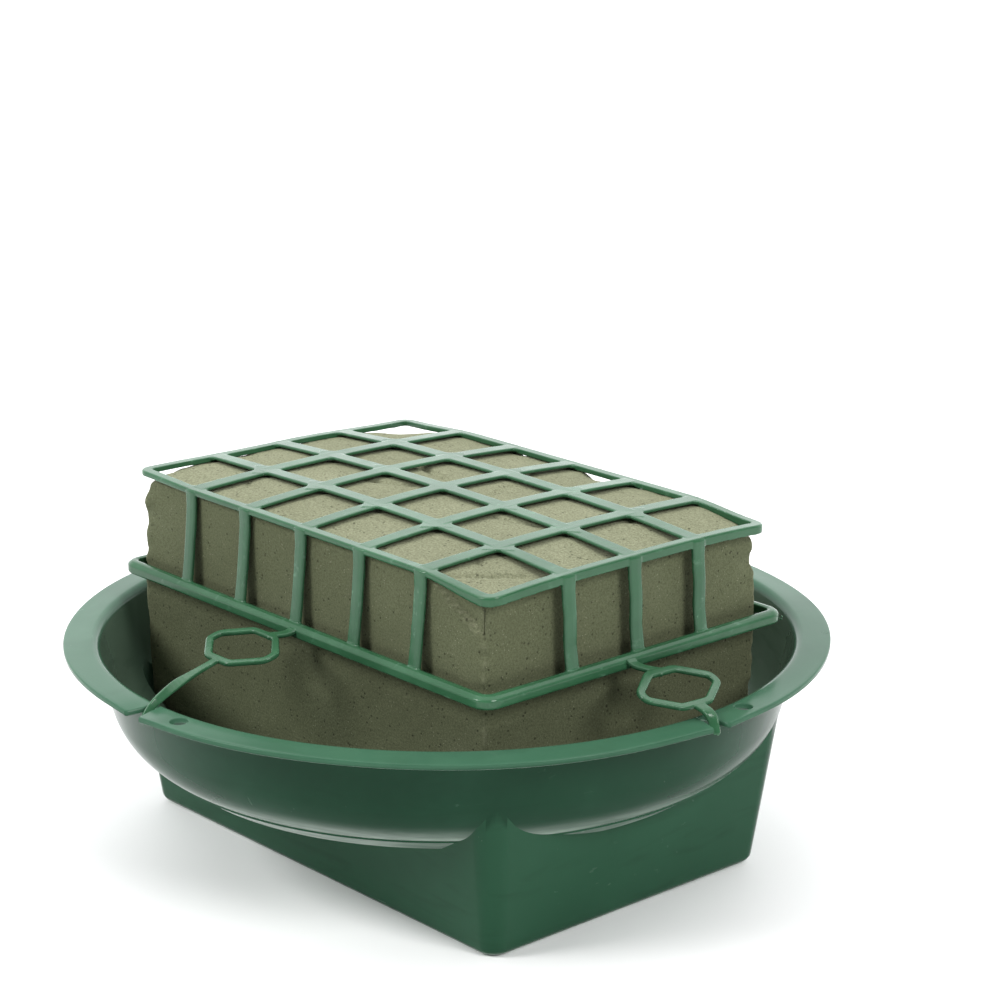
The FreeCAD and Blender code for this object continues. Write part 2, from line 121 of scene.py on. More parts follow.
class Lump:
    """Closed pieces gathered into one object, as one moulding is."""

    def __init__(self):
        self.vertices = []
        self.faces = []

    def loft(self, rings, closed=False):
        """Join rings of equal length, capped at the ends unless closed."""
        base = len(self.vertices)
        count = len(rings[0])
        for ring in rings:
            self.vertices.extend([tuple(p) for p in ring])
        spans = len(rings) if closed else len(rings) - 1
        for r in range(spans):
            s = (r + 1) % len(rings)
            for c in range(count):
                d = (c + 1) % count
                self.faces.append((base + r * count + c, base + r * count + d,
                                   base + s * count + d, base + s * count + c))
        if not closed:
            self.faces.append(tuple(base + c for c in reversed(range(count))))
            self.faces.append(tuple(base + (len(rings) - 1) * count + c for c in range(count)))

    def box(self, centre, half, turn):
        """A box of the given half sizes, turned about its upright axis, in degrees."""
        x, y, z = half
        ring = np.array([(-x, -y), (x, -y), (x, y), (-x, y)])
        ring = ring @ rotation2(turn).T + np.array(centre[:2])
        self.loft([[(*p, centre[2] - z) for p in ring], [(*p, centre[2] + z) for p in ring]])

    def blob(self, centre, size, seed):
        """A small irregular nib."""
        corners = 7
        rings = []
        for r, (height, width) in enumerate(((-1, 0.35), (-0.4, 0.95), (0.3, 0.8), (1, 0.25))):
            ring = []
            for k in range(corners):
                a = 2 * math.pi * k / corners + 0.3 * r
                uneven = 1 + 0.25 * math.sin(seed * 1.7 + 2.3 * k + r)
                ring.append((centre[0] + size[0] * width * uneven * math.cos(a),
                             centre[1] + size[1] * width * uneven * math.sin(a),
                             centre[2] + size[2] * height))
            rings.append(ring)
        self.loft(rings)

    def build(self, name):
        """One object with all the pieces."""
        obj = mesh_object(name, self.vertices, self.faces)
        weld(obj)
        return obj


def rotation2(degrees):
    """A turn in the plane, as a 2 x 2 matrix."""
    a = math.radians(degrees)
    return np.array([(math.cos(a), -math.sin(a)), (math.sin(a), math.cos(a))])


def to_side(points, side):
    """Turn points made for the front (-Y) round to another side."""
    p = np.asarray(points, float).copy()
    p[:, :2] = p[:, :2] @ rotation2(SIDES[side]).T
    return p


def fuse(obj, voxel, keep):
    """Melt overlapping pieces into one skin with soft corners, as a moulding has.

    voxel is the grain of the skin in mm, and keep the share of its faces that is kept.
    """
    remesh = obj.modifiers.new("remesh", "REMESH")
    remesh.mode = "VOXEL"
    remesh.voxel_size = voxel * MM
    soften = obj.modifiers.new("soften", "SMOOTH")
    soften.factor = 0.5
    soften.iterations = 2
    thin = obj.modifiers.new("thin", "DECIMATE")
    thin.ratio = keep
    bake(obj)
    obj.data.shade_smooth()


# ---- materials ----

RANGE_KEYS = ("From Min", "From Max", "To Min", "To Max")


class Nodes:
    """Small helper to lay out a node material."""

    def __init__(self, name):
        self.material = bpy.data.materials.new(name)
        self.material.use_nodes = True
        self.tree = self.material.node_tree
        self.shader = self.tree.nodes["Principled BSDF"]
        self.coordinates = self.add("ShaderNodeTexCoord").outputs["Object"]

    def link(self, source, target):
        self.tree.links.new(source, target)

    def add(self, kind, sockets=None, **settings):
        """A new node of a kind, with its settings and what goes into its sockets: outputs or values."""
        node = self.tree.nodes.new(kind)
        for key, value in settings.items():
            setattr(node, key, value)
        for key, item in (sockets or {}).items():
            socket = node.inputs[key]
            if isinstance(item, bpy.types.NodeSocket):
                self.link(item, socket)
            elif hasattr(item, "__len__"):
                socket.default_value = (*item, 1)[:len(socket.default_value)]
            else:
                socket.default_value = item
        return node

    def height_of(self, vector):
        """The upward part of a place or a direction."""
        return self.add("ShaderNodeSeparateXYZ", {"Vector": vector}).outputs["Z"]

    def scaled(self, factors):
        """Coordinates stretched by a factor each way, for streaks."""
        return self.add("ShaderNodeMapping", {"Scale": factors, "Vector": self.coordinates}).outputs["Vector"]

    def noise(self, scale, detail, roughness=0.5, vector=None, distortion=0.0):
        """Cloudy values about 0.5; scale is about the number of clouds in a metre."""
        node = self.add("ShaderNodeTexNoise", {
            "Scale": scale, "Detail": detail, "Roughness": roughness, "Distortion": distortion,
            "Vector": vector or self.coordinates})
        return node.outputs["Fac"]

    def cells(self, scale):
        """Distance to the nearest of a scatter of points."""
        node = self.add("ShaderNodeTexVoronoi", {"Scale": scale, "Vector": self.coordinates})
        return node.outputs["Distance"]

    def ramp(self, value, *stops):
        """A colour or grey that changes with value through stops, each a position and a colour."""
        node = self.add("ShaderNodeValToRGB", {"Fac": value})
        elements = node.color_ramp.elements
        while len(elements) < len(stops):
            elements.new(0.5)
        for element, (position, colour) in zip(elements, stops):
            element.position = position
            element.color = (*colour, 1) if hasattr(colour, "__len__") else (colour, colour, colour, 1)
        return node.outputs["Color"]

    def remap(self, value, low, high, to_low, to_high):
        """value from low..high to to_low..to_high, held at the ends."""
        sockets = dict(zip(RANGE_KEYS, (low, high, to_low, to_high)), Value=value)
        return self.add("ShaderNodeMapRange", sockets).outputs["Result"]

    def mix(self, factor, first, second):
        """From the first colour at factor 0 to the second at factor 1."""
        return self.add("ShaderNodeMix", {0: factor, 6: first, 7: second}, data_type="RGBA").outputs[2]

    def math(self, operation, first, second):
        return self.add("ShaderNodeMath", {0: first, 1: second}, operation=operation).outputs[0]

    def times(self, first, second):
        return self.math("MULTIPLY", first, second)

    def bump(self, height, strength, distance, under=None):
        """A normal that makes height look raised by up to distance mm, on top of the normal under."""
        sockets = {"Strength": strength, "Distance": distance * MM, "Height": height}
        if under is not None:
            sockets["Normal"] = under
        return self.add("ShaderNodeBump", sockets).outputs["Normal"]

    def finish(self, colour, roughness, normal, specular):
        """Join the looks to the shader; gives back the material."""
        self.link(colour, self.shader.inputs["Base Color"])
        self.link(roughness, self.shader.inputs["Roughness"])
        self.link(normal, self.shader.inputs["Normal"])
        self.shader.inputs["Specular IOR Level"].default_value = specular
        return self.material


def bowl_material():
    """Glossy dark green polypropylene with flow marks, scuffs and scratches; the thin flange is paler, and
    the well walls, the inside and the low bend are lighter, all as painted light and reflection.
    """
    n = Nodes("bowl_plastic")

    # dark dish; lighter well walls and inside and a paler flange, which are painted light and reflection
    cloud = n.noise(22, 4, 0.55)
    colour = n.ramp(cloud,
                    (0.3, (0.007, 0.034, 0.017)),
                    (0.55, (0.009, 0.041, 0.021)),
                    (0.75, (0.013, 0.052, 0.028)))
    height = n.height_of(n.coordinates)
    # painted light: the flange is painted paler, for the light and reflections it catches facing up
    flange = n.remap(height, 0.0638, 0.0652, 0, 1)
    pale = n.ramp(cloud,
                  (0.3, (0.034, 0.097, 0.056)),
                  (0.6, (0.042, 0.112, 0.067)),
                  (0.8, (0.052, 0.127, 0.079)))
    facing = n.height_of(n.add("ShaderNodeNewGeometry").outputs["Normal"])
    # painted light: the well walls, and dish faces low down that do not look down, are painted lighter, and
    # all of the well is painted lighter low down
    painted_wall_light = n.times(n.remap(facing, -0.21, -0.16, 0, 0.5), n.remap(height, 0.052, 0.046, 0, 1))
    well = n.math("MAXIMUM", painted_wall_light, n.remap(height, 0.034, 0.024, 0, 0.5))
    colour = n.mix(well, colour, (0.024, 0.086, 0.046))
    # painted reflection: faces that look up are painted paler, for the light and reflections the inside
    # catches
    inside = n.times(n.remap(facing, 0.02, 0.25, 0, 1), n.remap(n.noise(14, 4), 0.3, 0.7, 0.55, 1.0))
    colour = n.mix(inside, colour, (0.080, 0.118, 0.084))
    colour = n.mix(flange, colour, pale)

    # dark flow marks, fine scratches in patches, and dust
    drawn = n.noise(30, 3, 0.6, n.scaled((1.0, 1.0, 6.0)), 0.6)
    colour = n.mix(n.remap(drawn, 0.52, 0.72, 0.0, 0.22), colour, (0.006, 0.028, 0.014))
    patch = n.noise(38, 2)
    scratch = n.noise(520, 2, 0.5, n.scaled((0.10, 0.5, 1.0)), 0.4)
    scratch = n.times(n.remap(scratch, 0.68, 0.74, 0, 1), n.remap(patch, 0.54, 0.64, 0, 1))
    cross = n.noise(560, 2, 0.5, n.scaled((1.0, 0.18, 0.1)), 0.3)
    cross = n.times(n.remap(cross, 0.68, 0.74, 0, 1), n.remap(patch, 0.36, 0.46, 1, 0))
    marks = n.math("MAXIMUM", scratch, cross)
    colour = n.mix(n.times(marks, 0.16), colour, (0.07, 0.13, 0.09))
    dust = n.cells(420)
    dust = n.times(n.remap(dust, 0.05, 0.09, 1, 0), n.remap(n.noise(90, 2), 0.62, 0.68, 0, 1))
    colour = n.mix(n.times(dust, 0.2), colour, (0.22, 0.31, 0.25))

    # painted reflection of the floor: a streaky paler sheen where the dish bends under
    painted_floor_reflection = n.remap(facing, -0.50, -0.86, 0, 1)
    painted_floor_reflection = n.times(painted_floor_reflection, painted_floor_reflection)
    streak = n.remap(n.noise(26, 3, 0.6, n.scaled((1.0, 1.0, 9.0)), 0.3), 0.35, 0.65, 0.40, 1.0)
    colour = n.mix(n.times(painted_floor_reflection, streak), colour, (0.42, 0.50, 0.44))

    # finger smears in the gloss, and a surface that is never quite flat
    smear = n.noise(55, 5, 0.65)
    rough = n.remap(smear, 0.3, 0.7, 0.13, 0.22)
    rough = n.math("ADD", rough, n.times(marks, 0.15))
    normal = n.bump(n.noise(900, 3), 0.08, 0.04)
    normal = n.bump(n.noise(75, 3, 0.5), 0.12, 0.30, normal)
    normal = n.bump(n.math("SUBTRACT", 1.0, marks), 0.15, 0.03, normal)
    return n.finish(colour, rough, normal, 0.09)


def cage_material():
    """Mid green polypropylene, a little paler along its edges."""
    n = Nodes("cage_plastic")
    cloud = n.noise(60, 4, 0.55)
    colour = n.ramp(cloud,
                    (0.3, (0.023, 0.084, 0.038)),
                    (0.55, (0.029, 0.101, 0.047)),
                    (0.78, (0.040, 0.124, 0.062)))
    edge = n.add("ShaderNodeNewGeometry").outputs["Pointiness"]
    colour = n.mix(n.remap(edge, 0.53, 0.64, 0.0, 0.30), colour, (0.16, 0.33, 0.21))
    scuff = n.noise(420, 3, 0.6, n.scaled((1.0, 0.4, 0.7)))
    scuff = n.times(n.remap(scuff, 0.58, 0.70, 0, 1), n.remap(n.noise(45, 2), 0.45, 0.65, 0, 1))
    colour = n.mix(n.times(scuff, 0.22), colour, (0.20, 0.36, 0.26))
    rough = n.remap(n.noise(150, 4), 0.3, 0.7, 0.16, 0.26)
    normal = n.bump(n.noise(1200, 3), 0.10, 0.03)
    normal = n.bump(n.noise(240, 3), 0.16, 0.08, normal)
    return n.finish(colour, rough, normal, 0.30)


def foam_material():
    """Dry olive-grey foam: fine open pores, pale crumbs and paler worn edges; its top is painted much paler
    than its sides, as painted light from above.
    """
    n = Nodes("foam")
    geometry = n.add("ShaderNodeNewGeometry")
    facing = n.height_of(geometry.outputs["Normal"])
    cloud = n.noise(26, 4, 0.6)
    # painted light: the sides are painted darker and the top paler, by which way each face looks
    side = n.ramp(cloud,
                  (0.3, (0.106, 0.117, 0.066)),
                  (0.55, (0.119, 0.132, 0.075)),
                  (0.78, (0.135, 0.148, 0.088)))
    top = n.ramp(cloud,
                 (0.3, (0.205, 0.214, 0.136)),
                 (0.6, (0.240, 0.250, 0.162)),
                 (0.8, (0.275, 0.285, 0.190)))
    colour = n.mix(n.remap(facing, 0.35, 0.85, 0, 1), side, top)

    # grain, open pores, crumbs and worn edges
    grain = n.noise(1500, 3, 0.7)
    colour = n.mix(n.remap(grain, 0.38, 0.60, 0.44, 0.0), colour, (0.045, 0.048, 0.026))
    fine = n.cells(2300)
    colour = n.mix(n.remap(fine, 0.12, 0.5, 0.34, 0.0), colour, (0.032, 0.034, 0.018))
    pores = n.cells(560)
    some = n.math("GREATER_THAN", n.noise(300, 1), 0.53)
    pore = n.times(n.remap(pores, 0.12, 0.26, 1, 0), some)
    colour = n.mix(n.times(pore, 0.62), colour, (0.020, 0.020, 0.011))
    crumbs = n.cells(900)
    crumb = n.times(n.remap(crumbs, 0.08, 0.16, 1, 0), n.math("GREATER_THAN", n.noise(210, 1), 0.55))
    colour = n.mix(n.times(crumb, 0.45), colour, (0.40, 0.41, 0.29))
    edge = geometry.outputs["Pointiness"]
    worn = n.times(n.remap(edge, 0.515, 0.56, 0, 1), n.remap(n.noise(330, 3), 0.40, 0.62, 0, 1))
    colour = n.mix(n.times(worn, 0.16), colour, (0.34, 0.35, 0.24))

    rough = n.remap(grain, 0.3, 0.7, 0.86, 0.98)
    normal = n.bump(n.noise(140, 4, 0.6), 0.30, 0.40)
    normal = n.bump(grain, 0.70, 0.20, normal)
    normal = n.bump(n.math("SUBTRACT", 1.0, pore), 0.6, 0.25, normal)
    return n.finish(colour, rough, normal, 0.10)


def floor_material():
    """Nearly white and matt."""
    n = Nodes("floor")
    colour = n.ramp(n.noise(3, 2), (0.3, 0.84), (0.7, 0.86))
    return n.finish(colour, n.remap(n.noise(5, 2), 0, 1, 0.60, 0.66), n.bump(n.noise(200, 2), 0.02, 0.1), 0.2)


BOWL = bowl_material()
CAGE = cage_material()
FOAM = foam_material()


def dress(obj, material, slot, body, *nodes):
    """Give a piece its material and body, and hide the CAD nodes that it stands for; slot is not used."""
    obj.data.materials.clear()
    obj.data.materials.append(material)
    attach(obj, body)
    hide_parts(*nodes)


# ---- bowl ----

# Sizes in mm, in the CAD frame; z is up from the table.
RIM_TOP = 66.4
RIM_UNDER = 64.8
RIM_RADIUS = 115.0
FLANGE_START = 107.0  # radius at which the flange turns down into the dish
FLANGE_ROUND = 3.0
WALL = 1.5
DISH_MOUTH = 105.8  # outer radius of the dish under the flange
WALL_STRAIGHT = 17.3  # height of the straight part of its wall
DISH_BEND = 21.0  # radius of the bend below that
BEND_END = 60  # slope at which the bend stops, degrees
FOOT_RADIUS = 85.2  # where the dish floor turns flat
LEAN_DEGREES = 14
LEAN = math.radians(LEAN_DEGREES)
WELL_TOP = 29.5  # height of the dish floor
WELL_HALF = (80.0, 53.0)  # half sizes of the well at the table
WELL_CORNER = (83.9, 56.9)  # and at the dish floor
DRAFT = math.tan(math.radians(7.5))
NOTCH_MIDDLE = 107.6  # radius at which the rounded root of a notch starts
NOTCH_NECK = 109.6  # radius at which a notch starts to widen
NOTCH_HALF = 1.6
MOUTH_HALF = 2.7
TIE_CIRCLE = 110  # radius at the tie holes
TIE_RADIUS = 2.4
TIE_TURN = math.radians(7.5)  # from each notch round to its hole


def reach(theta, half_x, half_y, radius):
    """Distance from the axis to a rounded rectangle along each direction theta."""
    c, s = np.abs(np.cos(theta)), np.abs(np.sin(theta))
    with np.errstate(divide="ignore", invalid="ignore"):
        by_x = half_x / c
        by_y = half_y / s
    straight = np.where(by_x * s <= half_y - radius, by_x, np.inf)
    straight = np.minimum(straight, np.where(by_y * c <= half_x - radius, by_y, np.inf))
    cx, cy = half_x - radius, half_y - radius
    along = cx * c + cy * s
    corner = along + np.sqrt(np.maximum(along ** 2 - cx ** 2 - cy ** 2 + radius ** 2, 0))
    return np.where(np.isinf(straight), corner, straight)


def well_reach(theta, z, inset, extra=0.0):
    """Distance from the axis to the wall of the well at height z, set in by inset and extra."""
    grow = np.asarray(z, float) * DRAFT - inset - extra
    return reach(theta, WELL_HALF[0] + grow, WELL_HALF[1] + grow, np.maximum(5.2 + 0.5 * grow, 0.8))


def arc(cx, cz, radius, start, end, count):
    """Points on an arc, from start to end in degrees."""
    a = np.radians(np.linspace(start, end, count))
    return [(cx + radius * math.cos(t), cz + radius * math.sin(t)) for t in a]


def dish_profile(inset):
    """Half section of the dish from flange to floor: straight wall, broad bend, crisp line, short slope."""
    mouth = DISH_MOUTH - inset / math.cos(LEAN)
    bend_r = DISH_MOUTH - WALL_STRAIGHT * math.tan(LEAN)
    centre_r = bend_r - DISH_BEND * math.cos(LEAN)
    centre_z = RIM_UNDER - WALL_STRAIGHT + DISH_BEND * math.sin(LEAN)
    bend = arc(centre_r, centre_z, DISH_BEND - inset, -LEAN_DEGREES, -BEND_END, 26)
    wall = [(mouth + (bend[0][0] - mouth) * t, RIM_UNDER + (bend[0][1] - RIM_UNDER) * t)
            for t in np.linspace(0, 1, 9)][:-1]
    end_r, end_z = bend[-1]
    ledge = [(end_r - 0.03, end_z - 0.30), (end_r - 0.06, end_z - 0.60)] if inset == 0 else []
    floor_z = WELL_TOP + inset
    slope = [(FOOT_RADIUS + (end_r - FOOT_RADIUS) * t, floor_z + (end_z - floor_z) * t)
             for t in np.linspace(0.85, 0, 8)]
    floor = [(r, floor_z) for r in np.linspace(84.0, 50.0, 40)]
    return wall, bend, ledge, slope, floor


def cut_profile(points, theta, inset):
    """Each profile point at each theta, held at the place where the profile runs into the well."""
    points = np.array(points)
    parts = 12
    dense = []
    for a, b in zip(points[:-1], points[1:]):
        dense.extend(a + (b - a) * t for t in np.linspace(0, 1, parts, endpoint=False))
    dense = np.array(dense + [points[-1]])
    step = np.linalg.norm(np.diff(dense, axis=0), axis=1)
    travel = np.concatenate([[0], np.cumsum(step)])
    at = travel[::parts][:len(points)]
    rows = np.zeros((len(points) + 1, len(theta), 2))
    for i, t in enumerate(theta):
        gap = dense[:, 0] - well_reach(np.full(len(dense), t), dense[:, 1], inset)
        k = int(np.argmax(gap < 0))
        share = gap[k - 1] / (gap[k - 1] - gap[k])
        stop = travel[k - 1] + (travel[k] - travel[k - 1]) * share
        s = np.append(np.minimum(at, stop), stop)
        rows[:, i, 0] = np.interp(s, travel, dense[:, 0])
        rows[:, i, 1] = np.interp(s, travel, dense[:, 1])
    return rows


def bowl_angles():
    """Directions round the bowl, closer together where a corner of the well shows through the dish."""
    corner = math.atan2(WELL_CORNER[1], WELL_CORNER[0])
    spread = np.radians(9)
    parts = [np.linspace(0, 2 * math.pi, 560, endpoint=False)]
    for sign_x, sign_y in ((1, 1), (-1, 1), (-1, -1), (1, -1)):
        middle = math.atan2(sign_y * math.sin(corner), sign_x * math.cos(corner)) % (2 * math.pi)
        parts.append(np.linspace(middle - spread, middle + spread, 90) % (2 * math.pi))
    theta = np.sort(np.concatenate(parts))
    keep = np.concatenate([[True], np.diff(theta) > 2e-4])
    return theta[keep]


def bowl_skin(theta, inset):
    """Rows of (r, z) from the flange to the middle of the well, outside (inset 0) or inside."""
    wall, bend, ledge, slope, floor = dish_profile(inset)
    rows = list(cut_profile(wall + bend + ledge + slope + floor, theta, inset))
    top = rows[-1]
    base_z = inset
    turn = 2.5 if inset == 0 else 1.2
    for share in np.linspace(0, 1, 10)[1:]:
        z = top[:, 1] + (base_z + turn - top[:, 1]) * share
        rows.append(np.stack([well_reach(theta, z, inset), z], 1))
    for a in np.radians(np.linspace(0, 90, 8)[1:]):
        z = base_z + turn * (1 - math.sin(a))
        r = well_reach(theta, z, inset, turn * (1 - math.cos(a)))
        rows.append(np.stack([r, np.full(len(theta), z)], 1))
    edge = rows[-1][:, 0]
    for share in (0.97, 0.85, 0.6, 0.3, 0.08):
        rows.append(np.stack([edge * share, np.full(len(theta), base_z)], 1))
    return rows


def flange_rows(theta):
    """Rows round the flange, from the dish wall outside, round the rim edge, to the dish wall inside."""
    outer = [(DISH_MOUTH + 0.12, RIM_UNDER - 0.5), (DISH_MOUTH + 0.55, RIM_UNDER - 0.12),
             (DISH_MOUTH + 1.3, RIM_UNDER)]
    outer += [(r, RIM_UNDER) for r in (108.5, 111, 113.5)]
    outer += arc(RIM_RADIUS - 0.35, RIM_UNDER + 0.35, 0.35, -90, 0, 5)
    outer += arc(RIM_RADIUS - 0.5, RIM_TOP - 0.5, 0.5, 0, 90, 7)
    outer += [(r, RIM_TOP) for r in (113.4, 111.5, 109.5)]
    outer += arc(FLANGE_START, RIM_TOP - FLANGE_ROUND, FLANGE_ROUND, 90, 180 - LEAN_DEGREES, 10)
    return [np.stack([np.full(len(theta), r), np.full(len(theta), z)], 1) for r, z in outer]


def build_bowl():
    """One closed skin from the outside over the flange to the inside, with notches and tie holes cut."""
    theta = bowl_angles()
    outside = bowl_skin(theta, 0.0)
    inside = bowl_skin(theta, WALL)
    rows = outside[:0:-1] + flange_rows(theta) + inside[1:]
    count = len(theta)
    points = []
    for row in rows:
        points.append(np.stack([row[:, 0] * np.cos(theta), row[:, 0] * np.sin(theta), row[:, 1]], 1))
    points = np.concatenate(points)
    faces = grid_faces(len(rows), count)
    under, over = len(points), len(points) + 1
    points = np.vstack([points, [(0, 0, 0)], [(0, 0, WALL)]])
    last = (len(rows) - 1) * count
    for c in range(count):
        d = (c + 1) % count
        faces.append((under, d, c))
        faces.append((over, last + c, last + d))
    obj = mesh_object("bowl", points, faces)
    weld(obj, 2e-6)
    cutter = build_rim_cutter()
    cut = obj.modifiers.new("notches", "BOOLEAN")
    cut.operation = "DIFFERENCE"
    cut.solver = "MANIFOLD"
    cut.object = cutter
    bake(obj)
    bpy.data.objects.remove(cutter)
    obj.data.shade_smooth()
    obj.data.set_sharp_from_angle(angle=math.radians(24))
    warp_rim(obj)
    dress(obj, BOWL, "bowl_plastic", "bowl", "bowl_rim", "bowl_dish", "bowl_well")


def build_rim_cutter():
    """Strap notches and tie holes, flared a little where they meet the faces of the flange."""
    lump = Lump()
    levels = [(RIM_TOP + 0.6, 0.9), (RIM_TOP, 0.42), (RIM_TOP - 0.16, 0.16), (RIM_TOP - 0.45, 0.0),
              (RIM_UNDER + 0.3, 0.0), (RIM_UNDER, 0.25), (RIM_UNDER - 0.6, 0.7)]
    for side in SIDES:
        stack = []
        for z, grow in levels[::-1]:
            w = NOTCH_HALF + grow
            m = MOUTH_HALF + grow
            ring = [(-w, -NOTCH_NECK)]
            ring += [(-m, -114.2), (-m - 1.2, -115.4 - grow), (-m - 1.6, -117)]
            ring += [(m + 1.6, -117), (m + 1.2, -115.4 - grow), (m, -114.2), (w, -NOTCH_NECK)]
            for a in np.radians(np.linspace(0, 180, 9)):
                ring.append((w * math.cos(a), -NOTCH_MIDDLE + w * math.sin(a)))
            stack.append(to_side([(x, y, z) for x, y in ring], side))
        lump.loft(stack)
        stack = []
        x = TIE_CIRCLE * math.sin(TIE_TURN)
        y = -TIE_CIRCLE * math.cos(TIE_TURN)
        for z, grow in levels[::-1]:
            r = TIE_RADIUS + grow * 0.8
            ring = [(x + r * math.cos(t), y + r * math.sin(t), z)
                    for t in np.linspace(0, 2 * math.pi, 28, endpoint=False)]
            stack.append(to_side(ring, side))
        lump.loft(stack)
    return lump.build("rim_cutter")


def warp_rim(obj):
    """The thin flange waves very slightly and curls down at the lips of its notches."""
    count = len(obj.data.vertices)
    co = np.empty(count * 3)
    obj.data.vertices.foreach_get("co", co)
    co = co.reshape(-1, 3) / MM
    r = np.hypot(co[:, 0], co[:, 1])
    theta = np.degrees(np.arctan2(co[:, 1], co[:, 0]))
    out = smoothstep(104, 115, r) * (co[:, 2] > 60)
    wave = 0.22 * np.sin(np.radians(theta) * 3 + 0.6) + 0.14 * np.sin(np.radians(theta) * 7 + 2.0) - 0.30
    for middle, drop in ((-90, 0.55), (0, 0.5), (90, 0.4), (180, 0.4)):
        away = np.abs((theta - middle + 180) % 360 - 180)
        wave -= drop * np.exp(-(away / 3.2) ** 2)
    co[:, 2] += wave * out
    obj.data.vertices.foreach_set("co", (co * MM).ravel())
    obj.data.update()


# ---- foam ----

FOAM_TOP = 105.7
FOAM_BASE = 1.8
FOAM_HALF = (78.0, 51.3)

# Rounding of the upright edges near the top: corner, extra radius, reach, all in mm.
ROUNDED = (((-78, -51), 3.2, 12), ((-78, 51), 6.0, 20), ((78, 51), 2.6, 12), ((78, -51), 1.2, 9))

# Bites out of the upright edges: place, size, depth.
BITES = (((-78, -51, 93), (5, 5, 3.2), 1.6), ((-78, -51, 83), (4, 4, 2.0), 0.8),
         ((-78, -51, 103), (6, 6, 2.4), 1.2), ((78, 51, 96), (6, 6, 4), 1.4),
         ((78, 51, 88), (4, 4, 2), 0.8), ((78, -51, 88), (2.5, 2.5, 1.5), 0.8))

# Scores in the top: start, end, width, depth.
SCORES = (((57, -50), (70, -30), 1.0, 1.2), ((44, -30), (66, -38), 0.8, 0.5),
          ((-60, -30), (-42, -36), 0.7, 0.5), ((-26, 14), (-8, 9), 1.1, 1.1),
          ((-24, -8), (-10, -3), 1.0, 0.9), ((-20, 30), (2, 34), 0.8, 0.5),
          ((8, 20), (14, 6), 0.9, 0.7), ((55, 20), (70, 32), 0.9, 0.6), ((30, -6), (44, -2), 0.8, 0.5))

# Places where the top edge is broken down: place, size, depth.
BROKEN = (((-80, 53), (13, 13), 4.6), ((15, 53), (7, 6), 2.2), ((-80, -50), (6, 11), 3.0),
          ((79, 52), (5, 8), 1.8), ((31, 53), (3, 4), 0.9), ((78, -51), (5, 5), 0.7))


def box_shell(half_x, half_y, low, high, step):
    """Points and quads of a grid over the six faces of a block."""
    def axis(a, b):
        return np.linspace(a, b, max(2, int(round((b - a) / step)) + 1))

    xs, ys, zs = axis(-half_x, half_x), axis(-half_y, half_y), axis(low, high)
    points, faces = [], []

    def patch(first, second, place):
        base = len(points)
        for a in first:
            for b in second:
                points.append(place(a, b))
        for i in range(len(first) - 1):
            for j in range(len(second) - 1):
                k = base + i * len(second) + j
                faces.append((k, k + len(second), k + len(second) + 1, k + 1))

    patch(xs, ys, lambda a, b: (a, b, high))
    patch(ys, xs, lambda a, b: (b, a, low))
    patch(ys, zs, lambda a, b: (half_x, a, b))
    patch(zs, ys, lambda a, b: (-half_x, b, a))
    patch(zs, xs, lambda a, b: (b, half_y, a))
    patch(xs, zs, lambda a, b: (a, -half_y, b))
    return np.array(points), faces


def frame_sag(x, y):
    """How far the upper frame hangs below level: its right end and far corner droop, its left tip rises."""
    right = smoothstep(50, 80, x) * (0.6 + 1.5 * np.clip(np.abs(y) / 54, 0, 1) ** 3)
    far = 1.5 * smoothstep(-45, -80, x) * smoothstep(5, 52, y)
    left = 0.7 * smoothstep(-50, -80, x) * smoothstep(-5, -52, y)
    return right + far - left


def round_block(p, high):
    """Round the edges, evenly low down and slightly crumbled higher up; gives points and normals."""
    half_x, half_y = FOAM_HALF
    x, y, z = p.T
    wear = noise3(p, 9, 1) * 0.5 + noise3(p, 3.4, 2) * 0.3 + noise3(p, 1.6, 3) * 0.2
    radius = 2.8 - 2.1 * high + 0.4 * wear * high
    for (cx, cy), extra, spread in ROUNDED:
        near = np.exp(-((x - cx) ** 2 + (y - cy) ** 2) / spread ** 2) * smoothstep(22, 2, FOAM_TOP - z)
        radius += extra * near * (0.75 + 0.45 * wear)
    radius = np.clip(radius, 0.5, 9.5)
    middle = np.array([0, 0, (FOAM_TOP + FOAM_BASE) / 2])
    limit = np.stack([half_x - radius, half_y - radius, (FOAM_TOP - FOAM_BASE) / 2 - radius], 1)
    core = np.clip(p - middle, -limit, limit)
    offset = p - middle - core
    normal = offset / np.maximum(np.linalg.norm(offset, axis=1), 1e-9)[:, None]
    return core + normal * radius[:, None] + middle, normal


